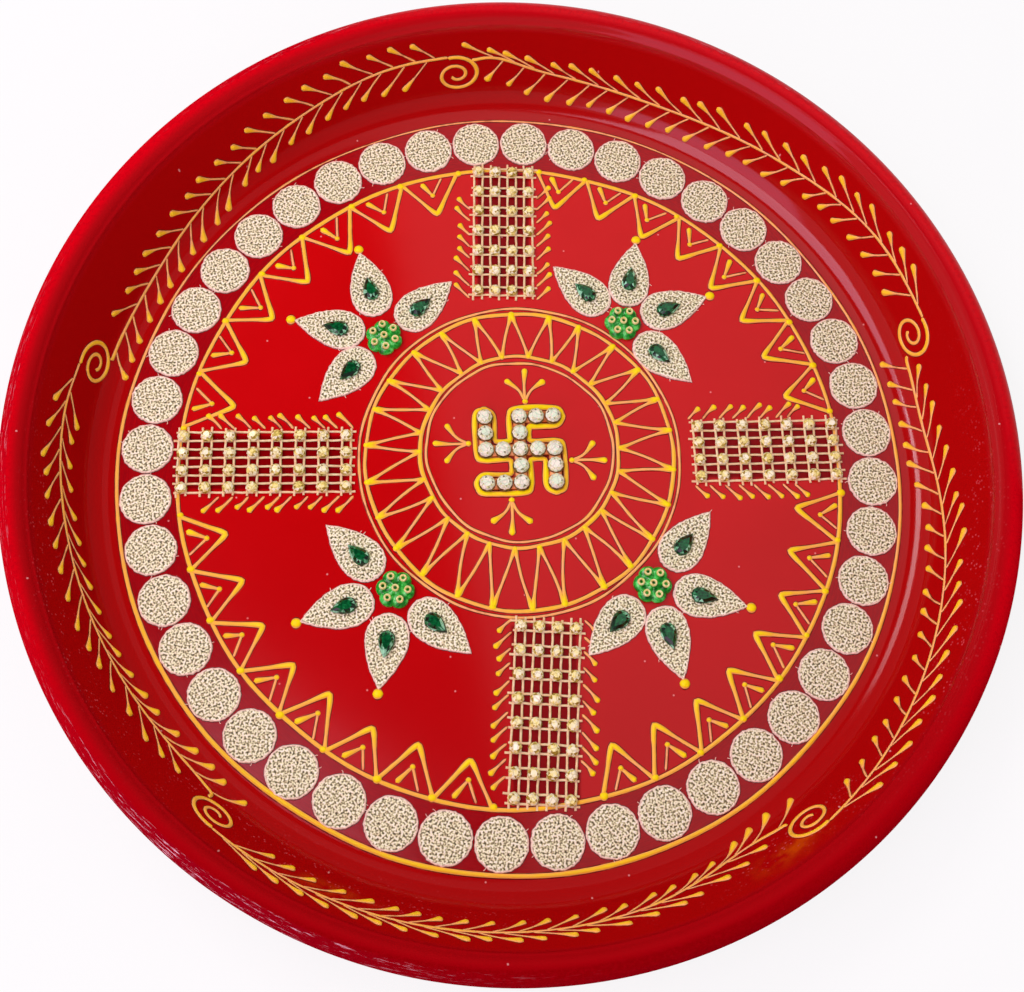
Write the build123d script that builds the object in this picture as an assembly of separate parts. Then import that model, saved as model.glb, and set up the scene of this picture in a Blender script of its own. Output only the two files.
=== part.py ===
from build123d import *
import os
from math import acos, asin, atan2, cos, degrees, hypot, pi, radians, sin, sqrt, tan

# Puja thali: a round steel plate painted red, with fabric, gems, beads and bead net glued to its floor.
# The origin is the centre of the underside, +Z is up and +Y is the top of the swastik.

# Pressed steel plate
sheet = 0.8                  # steel with its paint
floor_radius = 114.0         # flat part of the floor
wall_run = 26.0              # from the flat floor out to the edge of the rim
rim_height = 29.0            # table to the top of the rim
rim_roll = 7.6               # thickness of the rolled rim
corner_radius = 9.0          # floor to wall, inside the dish
roll_facets = 9              # flats that stand for the round of the rolled rim
corner_facets = 3

# Ring of fabric discs
fabric = 0.6                 # thickness of the stiffened fabric
disc_diameter = 14.6
disc_sides = 14              # the discs are cut by hand
disc_gap = 0.35              # least gap between neighbouring discs
disc_margin = 1.7            # discs to the edge of the flat floor
first_disc_angle = 5.9

# Bead net strips, measured along and across a strip
net_rows = 4                 # beads across every strip
net_thickness = 0.7
filament = 0.6               # width of one filament
filament_spread = 2.6        # between the two filaments of a pair
net_stone_diameter = 3.7
net_stone_table = 1.9
net_stone_height = 1.8
net_stone_sides = 6
net_gap_along = 2.95         # between stones along a strip
net_gap_across = 1.45        # between stones across a strip
net_setback = 0.9            # discs to the outer corners of a strip
# name: beads along, direction outwards, sideways shift of the strip, lean of the strip
net_strips = {
    "east": (7, 0.0, 5.0, 1.5),
    "north": (7, 90.0, 2.4, -0.5),
    "west": (8, 180.0, -0.4, 0.8),
    "south": (8, 270.0, 8.0, -3.0),
}

# Fabric petals with a gem on each, four round every flower bead
petal_length = 21.4
petal_width = 12.6
petal_points = 12
gem_length = 7.8
gem_width = 5.2
gem_height = 2.0
gem_slope = 27.0             # lean of the facets round the flat top
gem_points = 8
gem_place = 4.9              # round end of the petal to the round end of the gem
petal_clearance = 0.4        # flower bead to the nearest petal
petal_gap = 0.25             # least gap between neighbouring petals

# Flower beads, each with a ring of seed beads and one in the middle
seed_diameter = 2.2
seed_hole = 0.9
seed_height = 1.4
seed_gap = 1.3               # between neighbouring seed beads
seed_sides = 6
flower_lobes = 6
flower_lobe_depth = 0.45     # how far the notches between lobes cut in
flower_overhang = 0.9        # lobes beyond the seed beads
flower_height = 2.4
flower_points_per_lobe = 4
# name: side of the middle, centre beyond the edges of the strips, turn of the bead,
# petal directions, extra reach of each petal
flowers = {
    "north_east": ((1, 1), (23.9, 35.2), 57.0, (-42.5, 19.5, 79.5, 138.0), (0.0, 0.3, 0.0, 0.4)),
    "north_west": ((-1, 1), (28.7, 29.7), 40.0, (43.0, 106.0, 168.5, 227.0), (0.0, 1.6, 0.0, 0.0)),
    "south_west": ((-1, -1), (24.1, 27.3), 52.0, (137.0, 199.0, 261.5, 320.0), (0.0, 0.5, 0.8, 0.4)),
    "south_east": ((1, -1), (29.6, 25.7), 55.0, (-133.0, -74.0, -13.0, 50.5), (0.0, 0.5, 0.3, 0.6)),
}

# Rhinestones of the swastik, each in its own cup
cup_diameter = 4.8
cup_gap = 0.2
cup_height = 1.5
cup_wall = 0.3
stone_seat = 0.5             # depth of the recess that the stone sits in
stone_clearance = 0.05
stone_table = 2.4
stone_height = 2.0
stone_sides = 8
swastik_centre = (2.0, 4.6)
swastik_lean = 2.0
swastik_arm = 2              # stones from the centre to the end of an arm

# Values that follow from the sizes above
floor_top = sheet
rim_radius = floor_radius + wall_run
disc_ring = floor_radius - disc_margin - disc_diameter / 2
disc_count = int(2 * pi * disc_ring / (disc_diameter + disc_gap))
net_pitch_along = net_stone_diameter + net_gap_along
net_pitch_across = net_stone_diameter + net_gap_across
net_half_width = net_pitch_across * (net_rows - 1) / 2 + (filament_spread + filament) / 2
net_reach = disc_ring - disc_diameter / 2 - net_setback
seed_ring = seed_diameter + seed_gap
flower_radius = seed_ring + seed_diameter / 2 + flower_overhang
swastik_pitch = cup_diameter + cup_gap


def save(name, *solids):
    shape = solids[0] if len(solids) == 1 else Compound(children=list(solids))
    export_step(shape, os.path.join("parts", name + ".step"))


def polygon_face(points):
    return make_face(Polyline(*points, close=True))


def cut_stone(radius, table_radius, height, sides):
    """Flat-topped stone with one row of facets."""
    slope = atan2((radius - table_radius) * cos(pi / sides), height)
    return extrude(polygon_face(ring_points(radius, sides)), height, taper=degrees(slope))


def arc_points(centre, radius, start, end, steps):
    angles = [radians(start + (end - start) * k / steps) for k in range(steps + 1)]
    return [(centre.X + radius * cos(a), centre.Y + radius * sin(a)) for a in angles]


def ring_points(radius, count):
    return [(radius * cos(2 * pi * k / count), radius * sin(2 * pi * k / count)) for k in range(count)]


def teardrop_points(length, width, count):
    """Leaf outline along +X, round at the origin and pointed at the far end."""
    widest = 4 / sqrt(27)
    side = width / 2 / widest
    turns = [2 * pi * k / count for k in range(count)]
    return [(length * (1 + cos(t)) / 2, side * sin(t) * abs(sin(t / 2))) for t in turns]


def flower_points():
    count = flower_lobes * flower_points_per_lobe
    mean = flower_radius - flower_lobe_depth
    turns = [2 * pi * k / count for k in range(count)]
    radii = [mean + flower_lobe_depth * cos(flower_lobes * t) for t in turns]
    return [(r * cos(t), r * sin(t)) for r, t in zip(radii, turns)]


def make_plate():
    """Floor, rounded corner, flared wall and an edge rolled outwards, revolved as one sheet."""
    roll = rim_roll / 2
    corner = Vector(floor_radius, sheet + corner_radius)
    rim = Vector(rim_radius - roll, rim_height - roll)
    across = rim - corner
    lift = asin((roll + corner_radius) / hypot(across.X, across.Y))
    slope = degrees(atan2(across.Y, across.X) + lift)
    roll_start = slope + 90
    roll_end = slope - 270 + degrees(acos((roll - sheet) / roll))
    under = arc_points(corner, corner_radius + sheet, -90, slope - 90, corner_facets)
    edge = arc_points(rim, roll, roll_end, roll_start, roll_facets)
    inside = arc_points(corner, corner_radius, slope - 90, -90, corner_facets)
    profile = polygon_face([(0, 0), *under, *edge, *inside, (0, sheet)])
    return revolve(Plane.XZ * profile, Axis.Z)


def make_discs():
    disc = extrude(polygon_face(ring_points(disc_diameter / 2, disc_sides)), fabric)
    angles = [first_disc_angle + 360 * k / disc_count for k in range(disc_count)]
    return [Rot(0, 0, a) * Pos(disc_ring, 0, floor_top) * disc for a in angles]


def net_stone_places(beads_along):
    xs = [(k - (beads_along - 1) / 2) * net_pitch_along for k in range(beads_along)]
    ys = [(k - (net_rows - 1) / 2) * net_pitch_across for k in range(net_rows)]
    return [(x, y) for x in xs for y in ys]


def net_line_places(count, pitch):
    """Filaments come in pairs, one pair to every line of beads."""
    middles = [(k - (count - 1) / 2) * pitch for k in range(count)]
    return [m + s * filament_spread / 2 for m in middles for s in (-1, 1)]


def make_net(beads_along):
    """One flat sheet with an opening in every cell between filaments, closed only under the beads."""
    xs = net_line_places(beads_along, net_pitch_along)
    ys = net_line_places(net_rows, net_pitch_across)
    half = filament / 2
    openings = []
    for i in range(len(xs) - 1):
        for j in range(len(ys) - 1):
            under_bead = i % 2 == 0 and j % 2 == 0
            if not under_bead:
                low = (xs[i] + half, ys[j] + half)
                high = (xs[i + 1] - half, ys[j + 1] - half)
                openings.append(Polyline(low, (high[0], low[1]), high, (low[0], high[1]), close=True))
    low = (xs[0] - half, ys[0] - half)
    high = (xs[-1] + half, ys[-1] + half)
    edge = Polyline(low, (high[0], low[1]), high, (low[0], high[1]), close=True)
    return extrude(Face(Wire(edge), [Wire(w) for w in openings]), net_thickness)


def strip_place(beads_along, direction, shift, lean):
    """Outer corners of the strip stop short of the ring of discs."""
    half_length = (beads_along - 1) / 2 * net_pitch_along + (filament_spread + filament) / 2
    middle = sqrt(net_reach**2 - (abs(shift) + net_half_width)**2) - half_length
    return Rot(0, 0, direction) * Pos(middle, shift, floor_top) * Rot(0, 0, lean)


def save_strips():
    stone = cut_stone(net_stone_diameter / 2, net_stone_table / 2, net_stone_height, net_stone_sides)
    for name, (beads_along, direction, shift, lean) in net_strips.items():
        place = strip_place(beads_along, direction, shift, lean)
        save("bead_net_" + name, place * make_net(beads_along))
        seats = net_stone_places(beads_along)
        save("net_stones_" + name, *[place * Pos(x, y, net_thickness) * stone for x, y in seats])


def petal_start(outline):
    """Distance from the middle of the bead to a petal that leaves room for the bead and the next petal."""
    least_turn = min(b - a for _, _, _, turns, _ in flowers.values() for a, b in zip(turns, turns[1:]))
    beside = max(y / tan(radians(least_turn / 2)) - x for x, y in outline)
    return max(beside + petal_gap, flower_radius + petal_clearance)


def save_flowers():
    petal_outline = teardrop_points(petal_length, petal_width, petal_points)
    petal = extrude(polygon_face(petal_outline), fabric)
    start = petal_start(petal_outline)
    gem = extrude(polygon_face(teardrop_points(gem_length, gem_width, gem_points)), gem_height, taper=gem_slope)
    flower = extrude(polygon_face(flower_points()), flower_height)
    seed_face = Face(Wire(Polyline(*ring_points(seed_diameter / 2, seed_sides), close=True)),
                     [Wire(Polyline(*ring_points(seed_hole / 2, seed_sides), close=True))])
    seed = extrude(seed_face, seed_height)
    seeds = [(0, 0)] + ring_points(seed_ring, flower_lobes)
    for name, ((east, north), (across, up), turn, directions, reaches) in flowers.items():
        centre = Pos(east * (net_half_width + across), north * (net_half_width + up), floor_top)
        bead = centre * Rot(0, 0, turn)
        save("flower_bead_" + name, bead * flower)
        save("seed_beads_" + name, *[bead * Pos(x, y, flower_height) * seed for x, y in seeds])
        for number, (direction, reach) in enumerate(zip(directions, reaches), start=1):
            place = centre * Rot(0, 0, direction) * Pos(start + reach, 0, 0)
            save(f"petal_{name}_{number}", place * petal)
            save(f"gem_{name}_{number}", place * Pos(gem_place, 0, fabric) * gem)


def swastik_cells():
    """Cells of a square grid: an upright cross whose arms turn to the right at their ends."""
    arm = range(1, swastik_arm + 1)
    cells = [(0, 0)]
    for out_x, out_y in ((1, 0), (0, 1), (-1, 0), (0, -1)):
        turn_x, turn_y = out_y, -out_x
        end = (out_x * swastik_arm, out_y * swastik_arm)
        cells += [(out_x * k, out_y * k) for k in arm]
        cells += [(end[0] + turn_x * k, end[1] + turn_y * k) for k in arm]
    return cells


def save_swastik():
    recess_radius = cup_diameter / 2 - cup_wall
    stone_radius = recess_radius - stone_clearance
    outside = ring_points(cup_diameter / 2, stone_sides)
    recess = ring_points(recess_radius, stone_sides)
    cup = extrude(polygon_face(outside), cup_height)
    cup -= Pos(0, 0, cup_height - stone_seat) * extrude(polygon_face(recess), stone_seat)
    stone = cut_stone(stone_radius, stone_table / 2, stone_height, stone_sides)
    middle = Pos(*swastik_centre, floor_top) * Rot(0, 0, swastik_lean)
    places = [middle * Pos(x * swastik_pitch, y * swastik_pitch) for x, y in swastik_cells()]
    save("swastik_cups", *[place * cup for place in places])
    save("swastik_stones", *[place * Pos(0, 0, cup_height - stone_seat) * stone for place in places])


os.makedirs("parts", exist_ok=True)
save("plate", make_plate())
save("fabric_discs", *make_discs())
save_strips()
save_flowers()
save_swastik()
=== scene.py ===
import random
from math import asin, atan2, ceil, cos, exp, hypot, pi, radians, sin, sqrt

import bmesh
import bpy
from mathutils import Euler, Matrix, Vector


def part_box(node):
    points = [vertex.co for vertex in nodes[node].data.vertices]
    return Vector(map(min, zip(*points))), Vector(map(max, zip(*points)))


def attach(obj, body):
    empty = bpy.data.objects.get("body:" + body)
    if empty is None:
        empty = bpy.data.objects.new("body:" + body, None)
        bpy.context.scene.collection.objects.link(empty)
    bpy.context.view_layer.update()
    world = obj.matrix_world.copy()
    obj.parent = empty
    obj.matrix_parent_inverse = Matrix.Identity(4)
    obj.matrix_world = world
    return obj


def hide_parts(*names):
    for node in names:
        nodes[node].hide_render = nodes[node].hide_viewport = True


# Looks of the puja thali: red enamel, lurex patches, gems, beads, bead nets and piped relief paint.
# Lengths are millimetres, and metres in meshes, shaders and lights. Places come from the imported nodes.

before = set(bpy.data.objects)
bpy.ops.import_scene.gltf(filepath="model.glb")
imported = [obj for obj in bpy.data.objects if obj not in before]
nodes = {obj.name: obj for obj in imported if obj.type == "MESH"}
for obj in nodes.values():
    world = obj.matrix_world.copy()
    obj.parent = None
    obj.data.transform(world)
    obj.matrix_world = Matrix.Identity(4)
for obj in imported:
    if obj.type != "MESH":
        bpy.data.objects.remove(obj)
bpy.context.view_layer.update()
scene = bpy.context.scene
mm = 0.001
dice = random.Random(7)
looks = {}                   # materials by name

# Plate
plate_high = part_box("plate")[1]
rim_radius = plate_high.x / mm
rim_height = plate_high.z / mm
floor_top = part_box("fabric_discs")[0].z / mm
floor_radius = 114.0
corner_radius = 9.0
roll_radius = 3.8
plate_turns = 320
# rubbed stretches of the rim: angle, spread and strength
rim_scuffs = ((-124.0, 20.0, 1.0), (178.0, 16.0, 0.45), (118.0, 14.0, 0.4), (60.0, 22.0, 0.35))
# lip of paint under the rim: distance down the wall, and how proud it stands
paint_lip = ((0.5, 0.22), (0.9, 0.4), (1.3, 0.28), (1.8, 0.0))
# smears of amber paint on the wall: angle, spread and height
wall_stains = ((-112.0, 4.0, 15.0), (-57.0, 4.0, 18.0))
# bubbles in the paint of the wall, with painted glints on them: angle, spread and height
wall_blisters_and_glints = ((-158.0, 20.0, 21.0), (-20.0, 22.0, 22.0), (-118.0, 24.0, 9.0), (-60.0, 14.0, 14.0))

# Fabric
fabric = 0.6
petal_points = 64
disc_points = 52

# Relief paint
paint_sides = 6
paint_step = 0.5
paint_sink = 0.06
paint_height = 0.46          # of a line 1 mm wide
paint_shadow_foot = 0.36            # painted shadow: dark feathered edge beside a line
paint_rise = 0.1             # the part of it that starts to rise

# Rings and borders of the floor
outer_line_radius = 113.0
outer_line_width = 0.86
base_line_radius = 95.8
base_line_width = 1.05
border_apex_radius = 83.4
border_inner_apex_radius = 89.4
# a quarter of the border: first angle, last angle, number of triangles, heavy side of the small ones
border_runs = ((173.5, 100.0, 7, 1), (85.0, 10.3, 8, 1), (-4.5, -76.0, 8, 1), (-94.0, -170.5, 8, -1))
sun_outer_centre = Vector((2.0, 2.5))
sun_inner_centre = Vector((2.0, 4.6))
sun_outer_radius = 44.9
sun_inner_radius = 29.0
sun_points = 26
sun_first_angle = 93.0
# lines of the sun ring: centre, radius and width
sun_lines = ((sun_outer_centre, sun_outer_radius, 1.0), (sun_outer_centre, sun_outer_radius + 1.75, 0.62),
             (sun_inner_centre, sun_inner_radius, 1.0), (sun_inner_centre, sun_inner_radius - 1.8, 0.64))

# Tridents round the swastik: direction and sideways shift
tridents = ((90.0, -1.6), (0.0, -2.9), (-90.0, -2.6), (180.0, -1.9))
trident_base = 15.0
trident_middle = 25.4
trident_side = Vector((21.7, 5.9))

# Bead nets, and the fringe of strokes beside each
strips = ("east", "north", "west", "south")
filament_radius = 0.33
pair_spread = 1.3            # from the middle of a pair to each of its filaments
lower_filament = 0.36        # height of the filaments along a net
upper_filament = 0.52        # height of those that cross over them
fringe_gap = 1.1
fringe_pitch = 4.25
fringe_stroke = Vector((4.3, 4.2))

# Vine on the wall, clockwise. A run has a stem of angles and heights above the floor, the middle of the
# curl that ends it, and how far its strokes lean back and reach up, and lean back and reach down.
# It starts below the curl of the run before, or above it where its first point is higher.
vine_radius = 126.0
vine_pitch = 6.9
curl_size = Vector((7.8, 6.4))
curl_turns = 1.75
curl_start = 108.0
curl_shrink = 0.82           # share of its size that a curl loses on the way in
lowest_stroke = 1.2          # least distance up the wall of a stroke's head
vine_runs = (
    (((164, 2.7), (148, 3.3), (124, 10.0), (109, 15.0)), (97.9, 10.1), (8.3, 7.0), (8.0, 8.2)),
    (((92, 14.6), (84, 10.3), (68, 8.1), (50, 11.0), (33, 15.6)), (18.1, 9.2), (9.8, 5.4), (6.0, 8.0)),
    (((14, 4.1), (4, 3.6), (-14, 9.6), (-38, 15.6)), (-52.6, 12.0), (10.4, 5.5), (4.6, 7.6)),
    (((-56, 7.0), (-62, 6.0), (-76, 12.3), (-99, 16.0), (-117, 17.4)), (-128.7, 11.7), (11.5, 3.8),
     (9.6, 6.2)),
    (((-132, 4.9), (-140, 4.4), (-162, 9.5), (-182, 13.6)), (-192.7, 7.1), (9.8, 6.4), (9.2, 5.4)),
)

# Camera: place in millimetres, turn in degrees, focal length and shift in pixels of the image
image_width = 1024
camera_place = Vector((-25.22, -131.56, 430.07))
camera_turn = (20.71, -3.13, 0.60)
camera_focus = 1551.8
camera_shift = -130.0


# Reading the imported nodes

def solids(node):
    """Corner points of each separate solid of a node."""
    mesh = bmesh.new()
    mesh.from_mesh(nodes[node].data)
    bmesh.ops.remove_doubles(mesh, verts=mesh.verts, dist=1e-6)
    for vert in mesh.verts:
        vert.tag = False
    groups = []
    for first in mesh.verts:
        if first.tag:
            continue
        first.tag = True
        group = [first]
        for vert in group:
            for edge in vert.link_edges:
                other = edge.other_vert(vert)
                if not other.tag:
                    other.tag = True
                    group.append(other)
        groups.append([vert.co / mm for vert in group])
    mesh.free()
    return groups


def middle(points):
    low = Vector([min(p[k] for p in points) for k in range(3)])
    high = Vector([max(p[k] for p in points) for k in range(3)])
    return (low + high) / 2


def node_middle(node):
    low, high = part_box(node)
    return (low + high) / (2 * mm)


def node_height(node):
    low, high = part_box(node)
    return (high.z - low.z) / mm


def standing(points):
    """Lowest height of a solid, and how tall it is."""
    heights = [p.z for p in points]
    return min(heights), max(heights) - min(heights)


def polar(angle, radius, centre=Vector((0, 0))):
    return centre + Vector((radius * cos(radians(angle)), radius * sin(radians(angle))))


def full_turn(count):
    """Angles of one turn in equal steps, in radians."""
    return [2 * pi * k / count for k in range(count)]


def about(reach):
    """Small error of a hand, either way."""
    return dice.uniform(-reach, reach)


def bell(value, at, spread):
    """1 at a value, falling off on both sides over the spread."""
    return exp(-((value - at) / spread)**2)


# Meshes

class Build:
    """Mesh of one piece while it is put together."""

    def __init__(self):
        self.verts = []
        self.faces = []
        self.tones = []
        self.uvs = []

    def add(self, verts, faces, tones=None, uvs=None):
        start = len(self.verts)
        self.verts += verts
        self.faces += [[start + k for k in face] for face in faces]
        self.tones += tones or [0.0] * len(verts)
        self.uvs += uvs or [(v[0], v[1]) for v in verts]

    def piece(self, name, slot, replaces=(), smooth=40.0):
        mesh = bpy.data.meshes.new(name)
        mesh.from_pydata([Vector(v) * mm for v in self.verts], [], self.faces)
        mesh.materials.append(looks[slot])
        mesh.attributes.new("tone", "FLOAT", "POINT").data.foreach_set("value", self.tones)
        layer = mesh.uv_layers.new(name="UVMap")
        layer.data.foreach_set("uv", [c for loop in mesh.loops for c in self.uvs[loop.vertex_index]])
        work = bmesh.new()
        work.from_mesh(mesh)
        bmesh.ops.recalc_face_normals(work, faces=work.faces)
        work.to_mesh(mesh)
        work.free()
        if smooth:
            mesh.shade_smooth()
            mesh.set_sharp_from_angle(angle=radians(smooth))
        obj = bpy.data.objects.new(name, mesh)
        scene.collection.objects.link(obj)
        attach(obj, "root")
        if replaces:
            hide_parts(*replaces)

    def painted(self, name):
        self.piece("paint_" + name, "piped_paint")


def stacked(rings, loop=False):
    """Faces that join rings of equally many points, with a face over each end, or back to the first ring."""
    count = len(rings[0])
    verts = [v for ring in rings for v in ring]
    faces = []
    for row in range(len(rings) if loop else len(rings) - 1):
        for k in range(count):
            a = row * count + k
            b = row * count + (k + 1) % count
            faces.append([a, b, (b + count) % len(verts), (a + count) % len(verts)])
    if not loop:
        faces.append(list(range(count))[::-1])
        faces.append([len(verts) - count + k for k in range(count)])
    return verts, faces


def lathe(profile, turns, centre=Vector((0, 0, 0))):
    """Rings about a vertical axis through the centre, from a profile of radius and height."""
    angles = full_turn(turns)
    return [[centre + Vector((r * cos(a), r * sin(a), height)) for a in angles] for r, height in profile]


def marks_along(points):
    marks = [0.0]
    for a, b in zip(points, points[1:]):
        marks.append(marks[-1] + (b - a).length)
    return marks


def even(points, step):
    """The same line with points at equal distances."""
    marks = marks_along(points)
    count = max(4, ceil(marks[-1] / step))
    spread = []
    k = 0
    for n in range(count + 1):
        want = marks[-1] * n / count
        while k < len(points) - 2 and marks[k + 1] < want:
            k += 1
        span = marks[k + 1] - marks[k] or 1.0
        spread.append(points[k].lerp(points[k + 1], (want - marks[k]) / span))
    return spread


def curve(points, step=paint_step):
    """Smooth line through the points, with even steps."""
    ends = [2 * points[0] - points[1], *points, 2 * points[-1] - points[-2]]
    fine = []
    pieces = 10
    for a, b, c, d in zip(ends, ends[1:], ends[2:], ends[3:]):
        for k in range(pieces):
            t = k / pieces
            fine.append((2 * b + (c - a) * t + (2 * a - 5 * b + 4 * c - d) * t**2
                         + (3 * b - a - 3 * c + d) * t**3) / 2)
    return even(fine + [points[-1]], step)


def bent(start, corner, end):
    """Two straight legs with a small round where they meet."""
    near = 0.92
    return curve([start, start.lerp(corner, 0.5), start.lerp(corner, near),
                  end.lerp(corner, near), end.lerp(corner, 0.5), end])


# Surfaces that paint lies on: a flat point gives a place and an outward direction

corner_middle = Vector((floor_radius, floor_top + corner_radius))
roll_middle = Vector((rim_radius - roll_radius, rim_height - roll_radius))
to_roll = roll_middle - corner_middle
wall_slope = atan2(to_roll.y, to_roll.x) + asin((roll_radius + corner_radius) / to_roll.length)
wall_foot = corner_middle + corner_radius * Vector((sin(wall_slope), -cos(wall_slope)))
wall_top = roll_middle + roll_radius * Vector((-sin(wall_slope), cos(wall_slope)))
bend_length = corner_radius * wall_slope


def on_floor(p):
    return Vector((p.x, p.y, floor_top)), Vector((0, 0, 1))


def inside(climb):
    """Radius, height, and inward normal of the dish, a distance up from the edge of the flat floor."""
    if climb <= 0:
        return floor_radius + climb, floor_top, 0.0, 1.0
    turn = min(climb / corner_radius, wall_slope)
    beyond = max(0.0, climb - bend_length)
    radius = floor_radius + corner_radius * sin(turn) + beyond * cos(wall_slope)
    height = floor_top + corner_radius * (1 - cos(turn)) + beyond * sin(wall_slope)
    return radius, height, -sin(turn), cos(turn)


def climb_to(height):
    """Distance up the wall to a height above the floor."""
    foot = wall_foot.y - floor_top
    if height > foot:
        return bend_length + (height - foot) / sin(wall_slope)
    return corner_radius * (pi / 2 - asin(1 - height / corner_radius))


def on_wall(p):
    """p.x runs clockwise along the vine's circle, p.y up the wall."""
    turn = -p.x / vine_radius
    radius, height, inward, up = inside(p.y)
    out = Vector((cos(turn), sin(turn), 0))
    return out * radius + Vector((0, 0, height)), out * inward + Vector((0, 0, up))


def wall_point(angle, height):
    return Vector((-radians(angle) * vine_radius, climb_to(height)))


# Relief paint

def tones_across(width, rich):
    """Tone of the paint from foot to foot: dark feathered edge of painted shadow, peach side, yellow where it
    lies thick.
    """
    body = min(rich, 0.28 + 0.55 * max(0.0, width - 0.6))
    side = min(body, 0.4)
    return [0.0, 0.0, side] + [body] * (paint_sides - 3) + [side, 0.0, 0.0]


def pipe(build, path, width, surface=on_floor, closed=False, rich=1.0):
    """Line of relief paint along a path. Width is a function of the share of the length, 0 to 1."""
    placed = [surface(p) for p in path]
    marks = marks_along([place for place, _ in placed])
    last = len(path) - 1
    rings = []
    tones = []
    for k, (place, normal) in enumerate(placed):
        before = placed[(k - 1) % len(path) if closed else max(k - 1, 0)][0]
        after = placed[(k + 1) % len(path) if closed else min(k + 1, last)][0]
        side = normal.cross(after - before).normalized()
        wide = width(marks[k] / marks[-1])
        span = wide
        if not closed:
            reach = min(1.0, min(marks[k], marks[-1] - marks[k]) / (wide / 2))
            span = wide * max(0.1, sqrt(1 - (1 - reach)**2))
        proud = paint_height * span**0.75
        feather = span / wide
        section = [(span / 2 + paint_shadow_foot * feather, -0.02), (span / 2 + paint_rise * feather, 0.04)]
        for j in range(1, paint_sides):
            t = pi * j / paint_sides
            section.append((span / 2 * cos(t), proud * sin(t) - paint_sink))
        section += [(-across, lift) for across, lift in section[1::-1]]
        rings.append([place + side * across + normal * lift for across, lift in section])
        tones += tones_across(wide, rich)
    build.add(*stacked(rings, closed), tones)


def blob(build, at, radius):
    """Round dot of paint on the floor."""
    reach = Vector((radius, 0))
    pipe(build, even([at - reach, at + reach], radius / 6), lambda t: 2 * radius)


def drop_width(tail, head):
    """Thin tail that swells into a round head at the far end."""
    size = head * dice.uniform(0.88, 1.12)
    return lambda t: tail + (size - tail) * max(0.0, (t - 0.45) / 0.45 if t < 0.9 else 1.0)**1.6


def drop(build, points, tail, head, surface=on_floor, rich=1.0):
    """Stroke with a drop at its far end."""
    path = curve(points)
    path = path[:-3] + even(path[-3:], paint_step / 2)
    pipe(build, path, drop_width(tail, head), surface, rich=rich)


def waver(amount):
    """Slow uneven swing of a hand, over one turn."""
    swings = [(n, dice.uniform(0, 2 * pi), dice.uniform(0.4, 1.0)) for n in (2, 3, 5, 9, 14)]
    return lambda turn: amount * sum(size * sin(n * turn + start) for n, start, size in swings) / 2


def ring_line(build, radius, width, centre=Vector((0, 0)), surface=on_floor, heavy=0.0):
    """Ring drawn by hand, heavier towards the front by a share of its width."""
    swing = waver(0.3)
    swell = waver(0.16)
    count = round(2 * pi * radius / (2 * paint_step))
    turns = full_turn(count)
    if surface is on_wall:
        path = [Vector((-t * vine_radius, radius + swing(t) - floor_radius)) for t in turns]
    else:
        path = [centre + Vector(((radius + swing(t)) * cos(t), (radius + swing(t)) * sin(t))) for t in turns]
    width_at = lambda t: width * (1 + swell(2 * pi * t) - heavy * sin(2 * pi * t))
    pipe(build, path, width_at, surface, closed=True)


def floor_lines():
    build = Build()
    ring_line(build, outer_line_radius, outer_line_width, surface=on_wall, heavy=0.5)
    ring_line(build, base_line_radius, base_line_width)
    build.painted("floor_lines")


def triangle_border():
    build = Build()
    peak = lambda t: 0.8 + 0.8 * bell(t, 0.5, 0.15) + 0.4 * bell(t, 0, 0.08) + 0.75 * max(0, t - 0.5)
    for start, end, count, side in border_runs:
        step = (end - start) / count
        for k in range(count + 1):
            joint = polar(start + step * k + about(0.5), base_line_radius - 0.2)
            blob(build, joint, dice.uniform(0.85, 1.25))
        for k in range(count):
            left = start + step * k
            tip = polar(left + step * dice.uniform(0.44, 0.54), border_apex_radius + about(0.9))
            pipe(build, bent(polar(left, base_line_radius), tip, polar(left + step, base_line_radius)), peak)
            centre = left + step / 2
            thick = polar(centre + side * 1.9 + about(0.4), base_line_radius - 1.2)
            thin = polar(centre - side * 2.2, base_line_radius - 0.7)
            small = polar(centre + dice.uniform(-0.3, 0.5), border_inner_apex_radius + about(0.7))
            pipe(build, bent(thin, small, thick), drop_width(0.6, 1.6))
            blob(build, small, 0.75)
    build.painted("triangle_border")


def sun_ring():
    build = Build()
    for centre, radius, width in sun_lines:
        ring_line(build, radius, width, centre)
    step = 360 / sun_points
    outer = []
    inner = []
    for k in range(sun_points):
        angle = sun_first_angle - step * k
        outer.append(polar(angle + about(1.2), sun_outer_radius - 0.3, sun_outer_centre))
        angle -= step / 2
        inner.append(polar(angle + about(1.6), sun_inner_radius + 0.3, sun_inner_centre))
    taper = lambda t: 0.72 + 1.1 * bell(t, 0, 0.15) + 0.7 * bell(t, 1, 0.12)
    for k in range(sun_points):
        for start, end in ((outer[k], inner[k]), (outer[k], inner[k - 1])):
            bow = (end - start).orthogonal() * about(0.03)
            pipe(build, curve([start, (start + end) / 2 + bow, end]), taper)
        blob(build, outer[k], dice.uniform(0.8, 1.05))
        blob(build, inner[k], dice.uniform(0.65, 0.85))
    build.painted("sun_ring")


def trident_strokes(swastik_middle):
    build = Build()
    for direction, shift in tridents:
        turn = Matrix.Rotation(radians(direction), 2)
        place = lambda along, side: swastik_middle + turn @ Vector((along, side + shift))
        base = place(trident_base, 0)
        blob(build, base, 0.85)
        halfway = place((trident_base + trident_middle) / 2, 0.2)
        drop(build, [base, halfway, place(trident_middle, 0)], 0.7, 1.75)
        for side in (-1, 1):
            bend = place(trident_base + 3.6, side * 1.9)
            drop(build, [base, bend, place(trident_side.x, side * trident_side.y)], 0.7, 1.85)
    build.painted("tridents")


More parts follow.
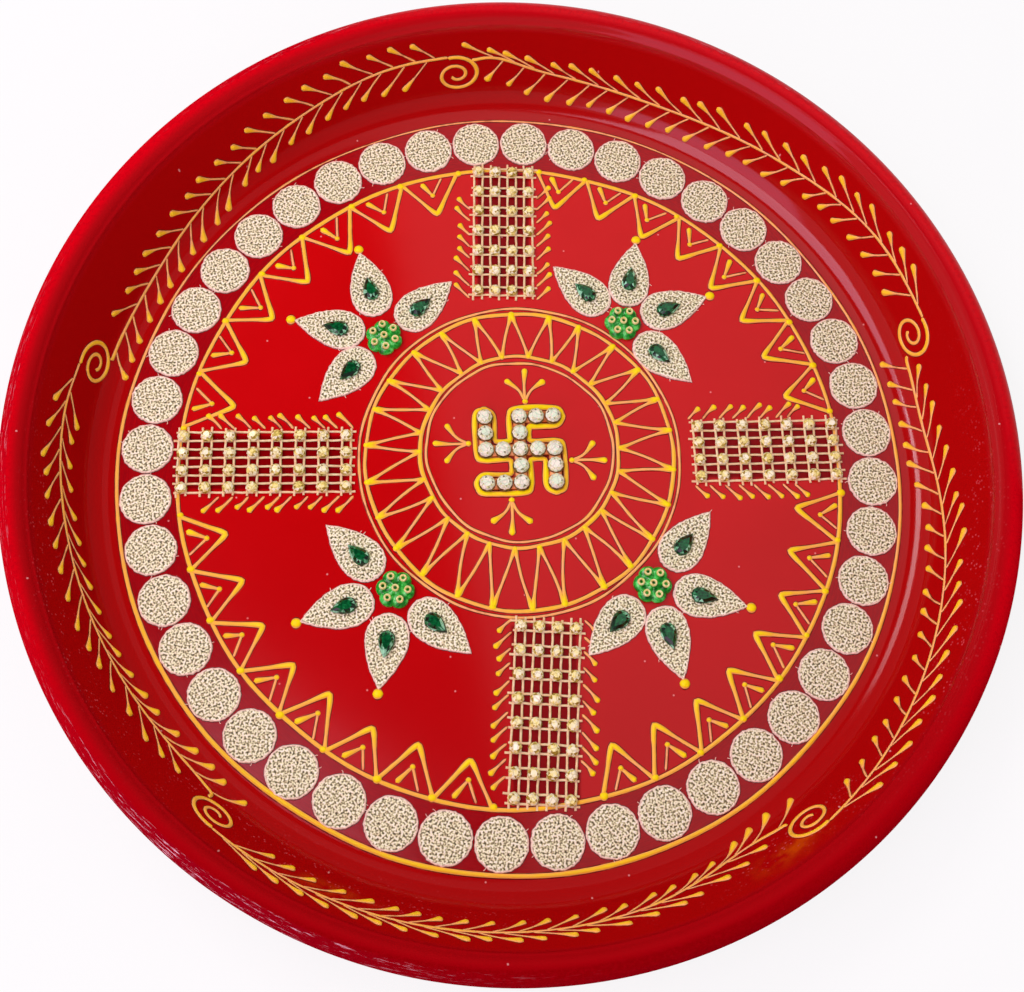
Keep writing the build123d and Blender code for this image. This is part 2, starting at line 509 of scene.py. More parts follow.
def boundary(cells):
    """Corners round a group of unit squares, in order."""
    steps = {}
    for x, y in cells:
        corners = [(x, y), (x + 1, y), (x + 1, y + 1), (x, y + 1)]
        beside = [(x, y - 1), (x + 1, y), (x, y + 1), (x - 1, y)]
        for k in range(4):
            if beside[k] not in cells:
                steps[corners[k]] = corners[(k + 1) % 4]
    first = min(steps)
    loop = [first]
    while steps[loop[-1]] != first:
        loop.append(steps[loop[-1]])
    return [Vector(c) for c in loop]


def swastik_outline(stones, centre, pitch, turn):
    """Thick paint line that hugs the stones, round at the ends of the arms, and paint between the stones."""
    hug = 0.05
    line_width = 1.55
    bed_width = 3.6
    half = Vector((0.5, 0.5))
    back = turn.inverted()
    cells = {tuple(round(c) for c in back @ (stone.xy - centre) / pitch) for stone in stones}
    loop = boundary(cells)
    corners = []
    for before, here, after in zip(loop[-1:] + loop, loop, loop[1:] + loop[:1]):
        arriving = here - before
        leaving = after - here
        if arriving.dot(leaving) > 0.5:
            continue
        ease = 0.42 if arriving.cross(leaving) > 0 else 0.2
        outward = Vector((arriving.y + leaving.y, -arriving.x - leaving.x)) * hug
        corners += [here - half + outward - arriving * ease, here - half + outward + leaving * ease]
    path = curve([centre + turn @ (p * pitch) for p in corners + corners[:1]], 0.6)
    build = Build()
    for k, stone in enumerate(stones):
        for other in stones[:k]:
            if (stone - other).length < 1.2 * pitch:
                pipe(build, even([stone.xy, other.xy], 0.6), lambda t: bed_width, rich=0.2)
    swell = waver(0.22)
    pipe(build, path[:-1], lambda t: line_width * (1 + swell(2 * pi * t)), closed=True)
    build.painted("swastik_outline")


def vine():
    build = Build()
    before = wall_point(*vine_runs[-1][1]) - Vector((2 * pi * vine_radius, 0))
    for stem_points, curl_at, up_reach, down_reach in vine_runs:
        places = [wall_point(angle, height) for angle, height in stem_points]
        curl_middle = wall_point(*curl_at)
        side = 1 if places[0].y > before.y else -1
        foot = before + Vector((0.62 * curl_size.x, side * 0.74 * curl_size.y))
        stem = curve([foot, *places, curl_middle + Vector((-2.2, curl_size.y))])
        swell = waver(0.12)
        pipe(build, stem, lambda t: 0.76 * (1 + swell(2 * pi * t)) + 0.35 * bell(t, 0, 0.05), on_wall)
        curl = []
        count = 48
        for k in range(count + 1):
            share = k / count
            turn = radians(curl_start - 360 * curl_turns * share)
            reach = curl_size * (1 - curl_shrink * share**0.9)
            curl.append(curl_middle + Vector((reach.x * cos(turn), reach.y * sin(turn))))
        pipe(build, curve(curl), lambda t: 1.25 - 0.35 * t, on_wall)
        vine_strokes(build, stem, (before, curl_middle), Vector(up_reach), Vector(down_reach))
        before = curl_middle
    build.painted("vine")


def vine_strokes(build, stem, curls, up_reach, down_reach):
    """Drop-headed strokes that lean back along both sides of a stem."""
    marks = marks_along(stem)
    for side, reach in ((1, up_reach), (-1, down_reach)):
        count = int(marks[-1] / vine_pitch)
        for n in range(count):
            want = (n + 0.75 + 0.25 * side + about(0.1)) * vine_pitch
            k = min(range(len(marks)), key=lambda i: abs(marks[i] - want))
            size = dice.uniform(0.86, 1.1)
            foot = stem[k] + Vector((0, 0.3 * side))
            head = foot + Vector((-reach.x, side * reach.y)) * size
            head.y = max(head.y, lowest_stroke)
            near = [p - curl for p in (head, foot.lerp(head, 0.6)) for curl in curls]
            if min(hypot(p.x / curl_size.x, p.y / curl_size.y) for p in near) < 1.1:
                continue
            bend = (foot + head) / 2 + Vector((dice.uniform(0.0, 0.8), side * dice.uniform(-0.7, 0.0)))
            drop(build, [foot, bend, head], 0.48, 2.0, on_wall, 0.66)


# Pieces of the frame in fuller form

def arc(middle, radius, start, end, count):
    """Points of a profile round a middle, from one angle to another in radians."""
    angles = [start + (end - start) * k / count for k in range(count + 1)]
    return [(middle.x + radius * cos(a), middle.y + radius * sin(a)) for a in angles]


def plate_shell():
    """Pressed dish turned from one sheet, its edge rolled outwards to a closed bead, with a lip of paint."""
    floor_steps = (0.5, 30, 60, 90)
    profile = [(radius, 0.0) for radius in (*floor_steps, floor_radius)]
    profile += arc(corner_middle, corner_radius + floor_top, -pi / 2, wall_slope - pi / 2, 10)[1:]
    profile.append((roll_middle.x - roll_radius + floor_top + 0.35, roll_middle.y - 0.1))
    profile += arc(roll_middle, roll_radius, radians(-158), wall_slope + pi / 2, 36)
    inward = Vector((-sin(wall_slope), cos(wall_slope)))
    down = (wall_foot - wall_top).normalized()
    for along, proud in paint_lip:
        profile.append(tuple(wall_top + down * along + inward * proud))
    profile += [tuple(wall_top.lerp(wall_foot, (k + 0.2) / 9.2)) for k in range(1, 10)]
    profile += arc(corner_middle, corner_radius, wall_slope - pi / 2, -pi / 2, 10)[1:]
    profile += [(radius, floor_top) for radius in reversed(floor_steps)]
    verts, faces = stacked(lathe(profile, plate_turns))
    build = Build()
    stains = [wall_marks(v, wall_stains, 3.0) for v in verts]
    build.add(verts, faces, stains, [(scuffing(v), wall_marks(v, wall_blisters_and_glints, 5.0)) for v in verts])
    build.piece("plate_shell", "red_enamel", ["plate"], smooth=50)


def nearness(v, angle, spread):
    """1 at an angle round the plate, falling off over the spread, in degrees."""
    apart = (atan2(v.y, v.x) - radians(angle) + pi) % (2 * pi) - pi
    return bell(apart, 0, radians(spread))


def scuffing(v):
    """How far the paint of the rolled edge is rubbed."""
    if hypot(v.x, v.y) < roll_middle.x + 0.6:
        return 0.0
    return sum(size * nearness(v, angle, spread) for angle, spread, size in rim_scuffs)


def wall_marks(v, marks, tall):
    """How far marks on the inside of the wall, given by angle, spread and height, cover a point."""
    if v.z < floor_top + 0.2 or hypot(v.x, v.y) > roll_middle.x - 1.0:
        return 0.0
    return sum(nearness(v, angle, spread) * bell(v.z, height, tall) for angle, spread, height in marks)


def patch(build, outline, place):
    """Stiff fabric cut by hand: dark line of painted contact shadow round its foot, frayed edge, thin pale
    border, slightly uneven face.
    """
    centre = sum(outline, Vector((0, 0))) / len(outline)
    ragged = [p + (p - centre).normalized() * dice.uniform(-0.14, 0.12) for p in outline]
    weave = Matrix.Rotation(dice.uniform(0, 2 * pi), 2)
    tilt = [about(0.05) for _ in range(3)]
    # scale, height, tone and, for the dark line of painted shadow, how far it reaches out
    rows = ((1.0, 0.0, -1.0, 0.2), (1.0, 0.06, -1.0, 0.2), (1.0, 0.09, -1.0, 0.05), (1.0, 0.12, 0.8, 0.0),
            (1.0, 0.72, 1.0, 0.0), (0.975, 1.0, 1.0, 0.0), (0.945, 1.0, 0.7, 0.0), (0.92, 1.0, 0.0, 0.0),
            (0.6, 1.0, 0.0, 0.0), (0.3, 1.0, 0.0, 0.0), (0.04, 1.0, 0.0, 0.0))
    rings = []
    tones = []
    uvs = []
    for scale, lift, pale, out in rows:
        ring = [centre + (p - centre) * scale + (p - centre).normalized() * out for p in ragged]
        heights = [fabric * lift + lift * tilt[0] * sin(p.x * 0.5 + 20 * tilt[1]) for p in ring]
        rings.append([place @ Vector((p.x, p.y, height)) for p, height in zip(ring, heights)])
        tones += [pale] * len(ring)
        uvs += [tuple(weave @ p) for p in ring]
    build.add(*stacked(rings), tones, uvs)
    for _ in range(2):
        foot = dice.choice(ragged)
        out = (foot - centre).normalized()
        bend = out.orthogonal() * about(0.6)
        end = foot + out * dice.uniform(0.6, 1.0) + bend
        stray = curve([foot - out * 0.4, foot + out * 0.5 + bend * 0.3, end], 0.25)
        tube(build, [place @ Vector((p.x, p.y, 0.4 * fabric)) for p in stray], 0.09, tone=1.0)


def fabric_discs():
    build = Build()
    for corners in solids("fabric_discs"):
        at = middle(corners)
        radius = max((c.xy - at.xy).length for c in corners)
        step = 360 / disc_points
        outline = [polar(step * k, radius * dice.uniform(0.985, 1.0)) for k in range(disc_points)]
        patch(build, outline, Matrix.Translation((at.x, at.y, floor_top)))
    build.piece("lurex_discs", "lurex_fabric", ["fabric_discs"])


def teardrop(length, width, share):
    """Point on a leaf outline along +X, round at the origin and pointed at the far end."""
    turn = 2 * pi * share
    side = width / 2 / (4 / sqrt(27))
    return Vector((length * (1 + cos(turn)) / 2, side * sin(turn) * abs(sin(turn / 2))))


def leaf_frame(node, centre):
    """Place, length and width of a node with a leaf outline that points away from its flower."""
    corners = solids(node)[0]
    low = min(c.z for c in corners)
    foot = [c.xy for c in corners if c.z < low + 0.01]
    tip = max(foot, key=lambda c: (c - centre).length)
    axis = (tip - centre).normalized()
    along = [(c - centre).dot(axis) for c in foot]
    beside = [(c - centre).dot(Vector((-axis.y, axis.x))) for c in foot]
    start = centre + axis * min(along)
    place = Matrix.Translation((start.x, start.y, low)) @ Matrix.Rotation(atan2(axis.y, axis.x), 4, "Z")
    return place, max(along) - min(along), max(beside) - min(beside)


def faceted(outline, count, tall, rows):
    """Cut stone from rows of scale, share of the height and half-step shift, bottom first."""
    verts = []
    for scale, lift, shift in rows:
        for k in range(count):
            p = outline((k + shift) / count)
            verts.append(Vector((p.x * scale, p.y * scale, lift * tall)))
    faces = [list(range(count))[::-1]]
    for row in range(len(rows) - 1):
        turn = rows[row + 1][2] - rows[row][2]
        low = row * count
        high = low + count
        for k in range(count):
            n = (k + 1) % count
            if turn == 0:
                faces.append([low + k, low + n, high + n, high + k])
            elif turn > 0:
                faces += [[low + k, low + n, high + k], [low + n, high + n, high + k]]
            else:
                faces += [[low + k, high + n, high + k], [low + k, low + n, high + n]]
    faces.append([len(verts) - count + k for k in range(count)])
    return verts, faces


def add_stone(build, stone, place):
    verts, faces = stone
    build.add([place @ v for v in verts], faces)


def seated(at, low, tilt, turn):
    """Place of a stone that was set by hand, a little tilted and turned."""
    lean = Euler((about(tilt), about(tilt), turn + about(0.4)))
    return Matrix.Translation((at.x, at.y, low)) @ lean.to_matrix().to_4x4()


def flower_parts(name):
    centre = node_middle("flower_bead_" + name)
    dots = Build()
    for number in range(1, 5):
        place, length, width = leaf_frame(f"petal_{name}_{number}", centre.xy)
        outline = [teardrop(length, width, k / petal_points) for k in range(petal_points)]
        cloth = Build()
        patch(cloth, outline, place)
        cloth.piece(f"lurex_petal_{name}_{number}", "lurex_fabric", [f"petal_{name}_{number}"])
        if number in (2, 3):
            tip = place @ Vector((length + 1.0, 0, 0))
            blob(dots, tip.xy, 1.45)
        gem_piece(name, number, centre)
    dots.painted("dots_" + name)
    flower_bead(name, centre)
    seed_beads(name)


def gem_piece(name, number, centre):
    node = f"gem_{name}_{number}"
    place, length, width = leaf_frame(node, centre.xy)
    hub = Vector((0.4 * length, 0))
    rows = ((0.86, 0, 0), (1.0, 0.3, 0), (0.86, 0.66, 0.5), (0.55, 1, 0))
    build = Build()
    stone = faceted(lambda share: teardrop(length, width, share) - hub, 14, node_height(node), rows)
    add_stone(build, stone, place @ Matrix.Translation((hub.x, hub.y, 0)))
    build.piece("cut_" + node, "green_gem", [node], smooth=0)


def flower_bead(name, centre):
    """Moulded bead with six lobes, domed on top."""
    node = "flower_bead_" + name
    corners = solids(node)[0]
    reach = max(corners, key=lambda c: (c.xy - centre.xy).length).xy - centre.xy
    tall = node_height(node)
    turn = atan2(reach.y, reach.x)
    rows = ((0.96, 0.0), (1.0, 0.14), (1.0, 0.42), (0.95, 0.66), (0.84, 0.82), (0.66, 0.88), (0.52, 0.8),
            (0.4, 0.84), (0.24, 0.97), (0.05, 1.0))
    rings = []
    for scale, lift in rows:
        ring = []
        for a in full_turn(84):
            lobe = abs(cos(3 * a))**0.7
            radius = reach.length * scale * (0.84 + 0.16 * lobe)
            height = tall * lift * (1 - 0.2 * (1 - lobe) * scale)
            ring.append(centre.xy.to_3d() + Vector((radius * cos(a + turn), radius * sin(a + turn),
                                                    floor_top + height)))
        rings.append(ring)
    build = Build()
    build.add(*stacked(rings))
    build.piece("moulded_" + node, "green_flower", [node], smooth=60)


def seed_beads(name):
    """Small drum beads with rounded edges and an open bore."""
    node = "seed_beads_" + name
    build = Build()
    for corners in solids(node):
        at = middle(corners)
        tall = standing(corners)[1]
        radius = max((c.xy - at.xy).length for c in corners)
        bore = min((c.xy - at.xy).length for c in corners)
        wall = (radius - bore) / 2
        profile = [(bore + wall + wall * cos(a), 0.5 * tall * sin(a)) for a in full_turn(10)]
        build.add(*stacked(lathe(profile, 16, at), loop=True))
    build.piece("round_" + node, "gold_seed", [node])


def tube(build, path, radius, flat=0.8, tone=0.0):
    """Round filament along a line of points."""
    turns = full_turn(6)
    rings = []
    for k, p in enumerate(path):
        ahead = (path[min(k + 1, len(path) - 1)] - path[max(k - 1, 0)]).normalized()
        side = Vector((-ahead.y, ahead.x, 0)).normalized()
        rings.append([p + side * radius * cos(t) + Vector((0, 0, flat * radius * sin(t))) for t in turns])
    verts, faces = stacked(rings)
    build.add(verts, faces, [tone] * len(verts))


def lines_of(values):
    """Where the lines lie that values fall in, lowest first."""
    places = sorted({round(value, 1) for value in values})
    return [p for k, p in enumerate(places) if k == 0 or p - places[k - 1] > 1]


def bead_net(name):
    """Pairs of filaments both ways, cut off with short stubs, and a faceted stone on every crossing."""
    corners = solids("net_stones_" + name)
    seats = [middle(c) for c in corners]
    centre = sum((s.xy for s in seats), Vector((0, 0))) / len(seats)
    offsets = [s.xy - centre for s in seats]
    swing = sum(o.x * o.y for o in offsets)
    axis_angle = 0.5 * atan2(2 * swing, sum(o.x**2 - o.y**2 for o in offsets))
    axis = Vector((cos(axis_angle), sin(axis_angle)))
    if axis.dot(centre) < 0:
        axis.negate()
    beside = Vector((-axis.y, axis.x))
    columns = lines_of(o.dot(axis) for o in offsets)
    rows = lines_of(o.dot(beside) for o in offsets)
    build = Build()

    def run(direction, crosswise, at, ends, height):
        first = ends[0] - pair_spread - dice.uniform(0.7, 1.7)
        last = ends[-1] + pair_spread + dice.uniform(0.7, 1.7)
        path = []
        steps = 24
        for k in range(steps + 1):
            along = first + (last - first) * k / steps
            drift = at + 0.06 * sin(along * 0.9 + at) + about(0.04)
            p = centre + direction * along + crosswise * drift
            path.append(Vector((p.x, p.y, floor_top + height + 0.05 * sin(along * 1.3 + at))))
        tube(build, path, filament_radius)

    for row in rows:
        for side in (-1, 1):
            run(axis, beside, row + side * pair_spread, columns, lower_filament)
    for column in columns:
        for side in (-1, 1):
            run(beside, axis, column + side * pair_spread, rows, upper_filament)
    build.piece("filaments_" + name, "net_filament", ["bead_net_" + name])
    net_stones(name, corners, seats, axis_angle)
    net_fringe(name, centre, axis, beside, columns, rows)


def net_stones(name, corners, seats, axis_angle):
    radius = max((c.xy - seats[0].xy).length for c in corners[0])
    low, tall = standing(corners[0])
    rows = ((0.8, 0, 0), (1.0, 0.25, 0), (0.84, 0.68, 0.5), (0.5, 1, 0))
    stone = faceted(lambda share: polar(360 * share, radius), 8, tall, rows)
    build = Build()
    for seat in seats:
        add_stone(build, stone, seated(seat, low, 0.09, axis_angle))
    build.piece("cut_net_stones_" + name, "net_stone", ["net_stones_" + name], smooth=0)


def net_fringe(name, centre, axis, beside, columns, rows):
    """Drop-headed strokes along both edges of a net, leaning away from the middle of the plate."""
    build = Build()
    start = columns[0] - pair_spread - 0.8
    end = columns[-1] - 1.0
    count = int((end - start) / fringe_pitch)
    for side in (-1, 1):
        edge = (rows[-1] if side > 0 else -rows[0]) + pair_spread + fringe_gap
        for k in range(count + 1):
            along = start + fringe_pitch * k + about(0.5)
            size = dice.uniform(0.85, 1.15)
            foot = centre + axis * along + beside * side * edge
            head = foot + (axis * fringe_stroke.x + beside * side * fringe_stroke.y) * size
            if head.length > base_line_radius - 4:
                continue
            bend = (foot + head) / 2 + axis * dice.uniform(-0.4, 0.1)
            drop(build, [foot, bend, head], 0.6, 1.75)
    build.painted("fringe_" + name)


def swastik():
    """Rhinestones in plated cups, with their paint outline and the tridents round them."""
    corners = solids("swastik_stones")
    stones = [middle(c) for c in corners]
    mean = sum(stones, Vector((0, 0, 0))) / len(stones)
    hub = min(stones, key=lambda s: (s - mean).length)
    near = sorted((s for s in stones if s is not hub), key=lambda s: (s - hub).length)[:4]
    east = max(near, key=lambda s: s.x)
    pitch = (east - hub).length
    lean = atan2(east.y - hub.y, east.x - hub.x)
    radius = 0.46 * pitch
    low, tall = standing(corners[0])
    rows = ((0.12, 0, 0), (1.0, 0.42, 0), (1.0, 0.48, 0), (0.84, 0.76, 0.5), (0.56, 1, 0))
    stone = faceted(lambda share: polar(360 * share, radius), 10, tall, rows)
    build = Build()
    cups = Build()
    cup = pitch / 2 - 0.05
    lip = 0.8 * node_height("swastik_cups")
    profile = [(0.3, 0.0), (cup - 0.25, 0.0), (cup, 0.3), (cup, lip - 0.1), (cup - 0.1, lip),
               (cup - 0.26, lip - 0.05), (cup - 0.3, lip - 0.45), (0.3, lip - 0.5)]
    for at in stones:
        add_stone(build, stone, seated(at, low, 0.05, lean))
        cups.add(*stacked(lathe(profile, 20, Vector((at.x, at.y, floor_top)))))
    build.piece("cut_swastik_stones", "rhinestone", ["swastik_stones"], smooth=0)
    cups.piece("plated_swastik_cups", "stone_cup", ["swastik_cups"])
    swastik_outline(stones, hub.xy, pitch, Matrix.Rotation(lean, 2))
    trident_strokes(hub.xy)


# Materials

def srgb(red, green, blue):
    """Colour as seen on screen, 0 to 255, as the linear colour that a shader takes."""
    parts = [c / 255 for c in (red, green, blue)]
    return [c / 12.92 if c <= 0.04045 else ((c + 0.055) / 1.055)**2.4 for c in parts] + [1.0]


def grey(level):
    """Linear grey of a level from 0 to 1."""
    return [level, level, level, 1.0]


class Shader:
    """Node tree of a material or the world, with its main shader."""

    def __init__(self, owner, main="Principled BSDF", **settings):
        owner.use_nodes = True
        self.tree = owner.node_tree
        self.main = self.tree.nodes[main]
        for socket, value in settings.items():
            self.main.inputs[socket.replace("_", " ")].default_value = value

    def node(self, kind, inputs=None, **settings):
        made = self.tree.nodes.new("ShaderNode" + kind)
        for key, value in settings.items():
            setattr(made, key, value)
        for socket, value in (inputs or {}).items():
            if isinstance(value, bpy.types.NodeSocket):
                self.tree.links.new(value, made.inputs[socket])
            else:
                made.inputs[socket].default_value = value
        return made

    def feed(self, socket, source):
        self.tree.links.new(source, self.main.inputs[socket])

    def place(self):
        return self.node("TexCoord").outputs["Object"]

    def split(self, vector):
        return self.node("SeparateXYZ", {"Vector": vector}).outputs

    def tone(self):
        return self.node("Attribute", attribute_name="tone").outputs["Fac"]

    def noise(self, vector, scale, detail=3.0, rough=0.5):
        made = self.node("TexNoise", {"Vector": vector, "Scale": scale, "Detail": detail, "Roughness": rough})
        return made.outputs["Fac"]

    def ramp(self, fac, *stops, colour=srgb):
        """Each stop has its position, then the numbers that the colour function takes."""
        made = self.node("ValToRGB", {"Fac": fac})
        band = made.color_ramp
        while len(band.elements) < len(stops):
            band.elements.new(1.0)
        for element, (at, *numbers) in zip(band.elements, stops):
            element.position = at
            element.color = colour(*numbers)
        return made.outputs["Color"]

    def math(self, kind, a, b):
        made = self.node("Math", {0: a, 1: b}, operation=kind)
        return made.outputs[0]

    def times(self, a, b):
        return self.math("MULTIPLY", a, b)

    def plus(self, a, b):
        return self.math("ADD", a, b)

    def total(self, base, *parts):
        """A base value and masks added to it, each with its weight."""
        for mask, weight in parts:
            base = self.plus(self.times(mask, weight), base)
        return base

    def mix(self, fac, under, colour):
        """A screen colour over what lies under it."""
        made = self.node("Mix", {"Factor": fac, 6: under, 7: srgb(*colour)}, data_type="RGBA")
        return made.outputs[2]

    def cells(self, vector, scale, **settings):
        made = self.node("TexVoronoi", {"Vector": vector, "Scale": scale}, **settings)
        return made.outputs["Distance"]

    def uv(self):
        return self.node("UVMap", uv_map="UVMap").outputs["UV"]

    def spread(self, fac, low, high, to_low=0.0, to_high=1.0):
        made = self.node("MapRange", {"Value": fac, "From Min": low, "From Max": high,
                                      "To Min": to_low, "To Max": to_high})
        return made.outputs["Result"]

    def bump(self, height, strength, distance):
        made = self.node("Bump", {"Height": height, "Strength": strength, "Distance": distance})
        self.feed("Normal", made.outputs["Normal"])


def new_material(name, **settings):
    looks[name] = bpy.data.materials.new(name)
    return Shader(looks[name], **settings)


def shade_under_nets(s, x, y):
    """1 under a bead net, where the enamel takes painted shade."""
    net_shade = 0.0
    for strip in strips:
        low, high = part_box("bead_net_" + strip)
        sides = []
        for axis, value in enumerate((x, y)):
            reach = (high[axis] - low[axis]) / 2
            off = s.math("ABSOLUTE", s.math("SUBTRACT", value, low[axis] + reach), 0.0)
            sides.append(s.spread(off, reach - 0.002, reach - 0.001, 1.0, 0.0))
        net_shade = s.plus(s.times(*sides), net_shade)
    return net_shade


def make_enamel():
    """Gloss red enamel, with painted shade on the wall, under the nets, at the front and on the outer rim;
    bubbled with painted glints, smeared and rubbed.
    """
    s = new_material("red_enamel")
    place = s.place()
    x, y, z = s.split(place)
    rubbed, blisters_and_glints, _ = s.split(s.uv())
    flat = s.node("CombineXYZ", {"X": x, "Y": y}).outputs[0]
    radius = s.node("VectorMath", {0: flat}, operation="LENGTH").outputs["Value"]
    beyond = lambda low, high: s.spread(radius, low * mm, high * mm)
    without = lambda mask: s.spread(mask, 0.0, 1.0, 1.0, 0.0)

    # where on the plate
    top = s.spread(z, 0.4 * floor_top * mm, 0.8 * floor_top * mm)
    net_shade = s.times(shade_under_nets(s, x, y), top)
    ring = s.times(top, beyond(base_line_radius - 0.6, base_line_radius + 0.4))
    climb = s.times(top, beyond(outer_line_radius - 0.4, outer_line_radius + 1.4))
    upper = s.spread(z, 0.004, 0.008)
    band = beyond(wall_top.x - 1.8, wall_top.x - 1.0)
    lip = s.times(band, without(beyond(wall_top.x + 0.6, wall_top.x + 1.6)))
    crest = beyond(roll_middle.x - 1.8, roll_middle.x)
    outer = beyond(roll_middle.x + 1.6, rim_radius - 0.3)
    wall = s.times(climb, without(band))

    # brush strokes, specks, smears, bubbles with painted glints, dust and rubbed streaks
    along = s.node("CombineXYZ", {"X": s.times(s.math("ARCTAN2", y, x), 24.0), "Y": s.times(radius, 2600.0),
                                  "Z": s.times(z, 2600.0)}).outputs[0]
    brushed = s.noise(along, 1.0, 5.0, 0.75)
    speckle = s.spread(s.noise(place, 900.0, 4.0, 0.7), 0.4, 0.52, 0.35, 0.0)
    smear = s.spread(s.noise(place, 160.0, 3.0), 0.42, 0.62, 0.0, 0.6)
    grit = s.cells(place, 900.0)
    patchy = s.times(blisters_and_glints, s.spread(s.noise(place, 260.0, 2.0), 0.48, 0.6))
    bubble_and_glint = s.times(s.spread(grit, 0.14, 0.34, 1.0, 0.0), patchy)
    dust = s.cells(place, 34.0, voronoi_dimensions="2D")
    scuff = s.times(rubbed, s.spread(brushed, 0.57, 0.65))

    # colours laid over the red of the floor, from the lowest up, painted shade among them: share and colour
    # painted shade: the floor darker towards the front
    coats_and_shading = ((s.spread(y, -0.09, 0.02, 0.15, 0.0), (160, 0, 4)),
             (s.times(ring, s.spread(brushed, 0.4, 0.62, 0.8, 0.45)), (130, 0, 14)),
             # painted shade: darker under the bead nets
             (s.times(net_shade, 0.9), (116, 0, 6)),
             # painted shade: the wall and the inner foot of the rolled edge a darker red than the floor
             (climb, (170, 7, 8)),
             (band, (178, 12, 20)),
             (crest, (210, 2, 20)),
             # painted shade: floor and rim darker towards the front, the wall left out
             (s.times(s.spread(y, -0.14, 0.09, 0.45, 0.0), without(wall)), (140, 0, 6)),
             # painted shade: the crest of the rim much darker at the front
             (s.times(s.spread(y, -0.13, -0.05, 0.7, 0.0), crest), (112, 0, 4)),
             # painted shade: the outer side of the rolled edge darker
             (s.times(outer, 0.25), (150, 2, 24)),
             (s.times(speckle, crest), (160, 2, 16)),
             (s.times(smear, s.tone()), (214, 92, 2)),
             # painted highlight: pale pink glints on the bubbles
             (s.times(bubble_and_glint, 0.7), (228, 96, 104)),
             (s.spread(dust, 0.006, 0.011, 0.5, 0.0), (250, 190, 184)),
             (s.times(rubbed, 0.6), (140, 2, 26)),
             (scuff, (244, 196, 208)))
    red = s.ramp(s.noise(place, 24.0, 4.0), (0.3, 200, 0, 4), (0.7, 208, 3, 10))
    for share, colour in coats_and_shading:
        red = s.mix(share, red, colour)
    s.feed("Base Color", red)
    s.feed("Roughness", s.total(0.1, (upper, 0.12), (lip, -0.12), (crest, 0.15), (scuff, 0.3)))
    polish = s.spread(s.plus(x, y), 0.02, 0.15, -0.2, 0.1)
    crest_polish = s.spread(y, -0.06, 0.06, 0.02, 0.22)
    s.feed("Specular IOR Level", s.total(0.3, (climb, polish), (upper, -0.43), (lip, 0.3), (net_shade, -0.2),
                                         (crest, crest_polish)))
    peel = s.spread(crest, 0.0, 1.0, 0.03, 0.3)
    s.bump(s.total(0.0, (s.noise(place, 620.0, 3.0), peel), (bubble_and_glint, 0.4)), 0.5, 0.0003)


def make_lurex():
    """Champagne lurex: a fine tangle of pale thread over a loose lattice, olive gaps and a pale cut edge."""
    s = new_material("lurex_fabric", Specular_IOR_Level=0.5)
    weave = s.uv()
    drift = s.node("TexNoise", {"Vector": weave, "Scale": 0.6, "Detail": 1.0}).outputs["Color"]
    bent_weave = s.node("VectorMath", {0: weave, 1: drift}, operation="ADD").outputs[0]
    threads = []
    for turn in (0.6, 2.1):
        turned = s.node("VectorRotate", {"Vector": bent_weave, "Angle": turn}, rotation_type="Z_AXIS")
        threads.append(s.node("TexWave", {"Vector": turned.outputs[0], "Scale": 0.25, "Distortion": 3.0,
                                          "Detail": 2.0, "Detail Scale": 1.5}).outputs["Fac"])
    lattice = s.math("MAXIMUM", threads[0], threads[1])
    thread = s.spread(s.noise(weave, 1.75, 0.0), 0.3, 0.6)
    body = s.total(0.0, (lattice, 0.42), (thread, 0.58))
    shade = s.ramp(body, (0.18, 66, 62, 30), (0.5, 156, 150, 102), (0.8, 250, 250, 196),
                   (0.98, 255, 255, 232))
    warm = s.spread(s.noise(weave, 0.85, 1.0), 0.52, 0.7, 0.0, 0.3)
    shade = s.mix(warm, shade, (216, 184, 136))
    shade = s.mix(s.spread(s.tone(), 0.0, 1.0, 0.0, 0.85), shade, (255, 222, 200))
    # painted shadow: a dark line round the foot of each patch
    s.feed("Base Color", s.mix(s.spread(s.tone(), -1.0, 0.0, 1.0, 0.0), shade, (90, 2, 10)))
    s.feed("Roughness", s.spread(thread, 0.0, 1.0, 0.65, 0.4))
    s.bump(body, 0.5, 0.0003)


def make_stone(name, gloss, lines, *stops):
    """Foil-backed cut stone with painted light: each facet takes a colour from painted shade to a painted
    glint by the way it faces, and the far edges show through as painted lines.
    """
    s = new_material(name, Roughness=0.08, Specular_IOR_Level=gloss)
    facing = s.node("NewGeometry").outputs["True Normal"]
    facet_glint = s.noise(facing, 5.5, 1.0)
    depth = s.noise(s.place(), 1300.0, 2.0)
    face = s.ramp(s.total(0.0, (facet_glint, 0.8), (depth, 0.2)), *stops)
    edges = s.spread(s.cells(s.place(), 560.0, feature="DISTANCE_TO_EDGE"), 0.01, 0.09, lines, 0.0)
    s.feed("Base Color", s.mix(edges, face, stops[0][1:]))


def make_mottled(name, scale, detail, *stops, relief=0.2, depth=0.0001, grain=0.5, **settings):
    """Small part with a fine mottle of colours, in slight relief."""
    s = new_material(name, **settings)
    mottle = s.noise(s.place(), scale, detail, grain)
    s.feed("Base Color", s.ramp(mottle, *stops))
    if relief:
        s.bump(mottle, relief, depth)


